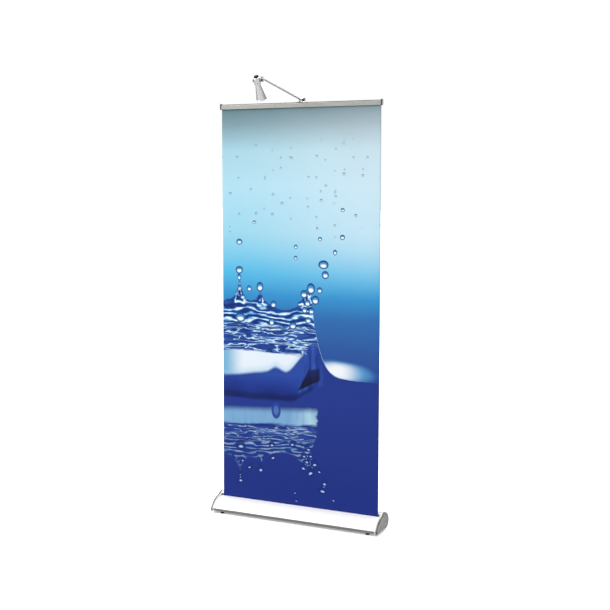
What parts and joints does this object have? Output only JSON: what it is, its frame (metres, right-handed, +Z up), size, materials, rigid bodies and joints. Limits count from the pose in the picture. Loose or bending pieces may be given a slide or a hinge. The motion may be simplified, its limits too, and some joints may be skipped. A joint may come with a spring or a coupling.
{
  "type": "roll-up banner stand",
  "caption": "Free-standing roll-up banner: spring-roller cassette with a curved cover, tall printed film on a telescopic pole with a snap top rail, and a spotlight on an arm.",
  "frame": {"origin": "on the floor under the middle of the base, in the plane of the printed film", "axes": "+Z up, +X to the right along the banner as seen from the front, +Y to the rear; the print faces -Y"},
  "size_m": [0.907, 0.525, 2.151],
  "materials": {
    "anodised_base": "satin anodised",
    "cover_silver": "bright polished, clear coated",
    "cap_silver": "silver-grey moulded",
    "plate_grey": "fine-textured grey",
    "screw_steel": "zinc plated",
    "foot_rubber": "black",
    "black_plastic": "black, fine grain",
    "bearing_nylon": "natural nylon",
    "pole_aluminium": "satin anodised",
    "graphic_print": "satin printed film",
    "rail_aluminium": "satin champagne-silver anodised",
    "grip_pvc": "soft grey",
    "rail_cap_dark": "dark grey",
    "lamp_chrome": "polished",
    "arm_satin": "satin chrome",
    "shade_silver": "satin silver",
    "lamp_ceramic": "unglazed",
    "lamp_mirror": "faceted dichroic",
    "lamp_glass": "clear"
  },
  "bodies": {
    "cassette": {"base_extrusion": "anodised_base", "front_cover": "cover_silver", "cover_clips": "screw_steel", "left_end_cap": "cap_silver", "right_end_cap": "cap_silver", "left_end_plate": "plate_grey", "right_end_plate": "plate_grey", "end_plate_screws": "screw_steel", "feet": "foot_rubber", "foot_screws": "screw_steel", "pole_socket": "black_plastic", "pole_socket_screws": "screw_steel", "roller_bearing": "bearing_nylon", "spring_axle": "screw_steel", "torsion_spring": "screw_steel", "spring_anchor": "black_plastic", "graphic_feed": "graphic_print", "graphic_panel": "graphic_print", "pole_lower": "pole_aluminium", "lower_clamp_collar": "black_plastic", "lower_clamp_pin": "screw_steel"},
    "roller": {"roller_tube": "pole_aluminium", "roller_plug_left": "black_plastic", "roller_plug_right": "black_plastic", "graphic_wrap": "graphic_print"},
    "lower_lever": {"lower_clamp_lever": "black_plastic"},
    "pole_middle": {"pole_middle": "pole_aluminium", "middle_guide_bush": "black_plastic", "upper_clamp_collar": "black_plastic", "upper_clamp_pin": "screw_steel"},
    "upper_lever": {"upper_clamp_lever": "black_plastic"},
    "pole_upper": {"pole_upper": "pole_aluminium", "upper_guide_bush": "black_plastic", "pole_head": "black_plastic", "rail_back_profile": "rail_aluminium", "rail_back_grip": "grip_pvc", "rail_left_cap": "rail_cap_dark", "rail_right_cap": "rail_cap_dark", "rail_cap_screws": "screw_steel"},
    "rail_jaw": {"rail_front_jaw": "rail_aluminium", "rail_jaw_grip": "grip_pvc"},
    "lamp_bracket": {"lamp_bracket": "lamp_chrome", "cord_grommet": "foot_rubber", "arm_hinge_nut": "screw_steel"},
    "arm_knob": {"arm_clamp_knob": "black_plastic"},
    "lamp_arm": {"arm_knuckle": "lamp_chrome", "arm_tube": "arm_satin", "head_yoke": "lamp_chrome", "head_pivot_screw": "screw_steel"},
    "head_knob": {"head_clamp_knob": "black_plastic"},
    "lamp_head": {"lamp_housing": "lamp_chrome", "lamp_top_cap": "black_plastic", "lamp_shade": "shade_silver", "lamp_holder": "lamp_ceramic", "lamp_reflector": "lamp_mirror", "lamp_capsule": "lamp_glass", "lamp_front_glass": "lamp_glass", "lamp_retaining_ring": "lamp_chrome"}
  },
  "joints": [
    {"name": "middle_slide", "type": "slide", "parent": "cassette", "child": "pole_middle", "axis": [0, 0, 1], "range_m": [-0.6, 0], "deforming": ["graphic_panel"]},
    {"name": "upper_slide", "type": "slide", "parent": "pole_middle", "child": "pole_upper", "axis": [0, 0, 1], "range_m": [-0.6, 0]},
    {"name": "roller_spin", "type": "hinge", "parent": "cassette", "child": "roller", "pos_m": [0, -0.024, 0.042], "axis": [1, 0, 0], "range_deg": [-3700, 0]},
    {"name": "lower_lever_flip", "type": "hinge", "parent": "cassette", "child": "lower_lever", "pos_m": [0.0225, 0.025, 0.737], "axis": [0, 0, 1], "range_deg": [-110, 0]},
    {"name": "upper_lever_flip", "type": "hinge", "parent": "pole_middle", "child": "upper_lever", "pos_m": [0.0225, 0.025, 1.397], "axis": [0, 0, 1], "range_deg": [-110, 0]},
    {"name": "jaw_open", "type": "hinge", "parent": "pole_upper", "child": "rail_jaw", "pos_m": [0, -0.003, 2.054], "axis": [1, 0, 0], "range_deg": [-30, 0]},
    {"name": "lamp_swivel", "type": "hinge", "parent": "pole_upper", "child": "lamp_bracket", "pos_m": [0, 0.025, 2.064], "axis": [0, 0, 1], "range_deg": [-75, 75]},
    {"name": "arm_tilt", "type": "hinge", "parent": "lamp_bracket", "child": "lamp_arm", "pos_m": [0, 0.025, 2.074], "axis": [1, 0, 0], "range_deg": [-70, 11]},
    {"name": "arm_knob_turn", "type": "hinge", "parent": "lamp_bracket", "child": "arm_knob", "pos_m": [0.012, 0.025, 2.074], "axis": [1, 0, 0], "range_deg": [-180, 180]},
    {"name": "head_tilt", "type": "hinge", "parent": "lamp_arm", "child": "lamp_head", "pos_m": [0, -0.432, 2.127], "axis": [1, 0, 0], "range_deg": [-60, 30]},
    {"name": "head_knob_turn", "type": "hinge", "parent": "lamp_arm", "child": "head_knob", "pos_m": [0.022, -0.432, 2.127], "axis": [1, 0, 0], "range_deg": [-180, 180]}
  ],
  "couplings": [
    {"joint": "upper_slide", "follows": "middle_slide", "ratio": 1},
    {"joint": "roller_spin", "follows": "middle_slide", "rad_per_m": 107.5}
  ]
}
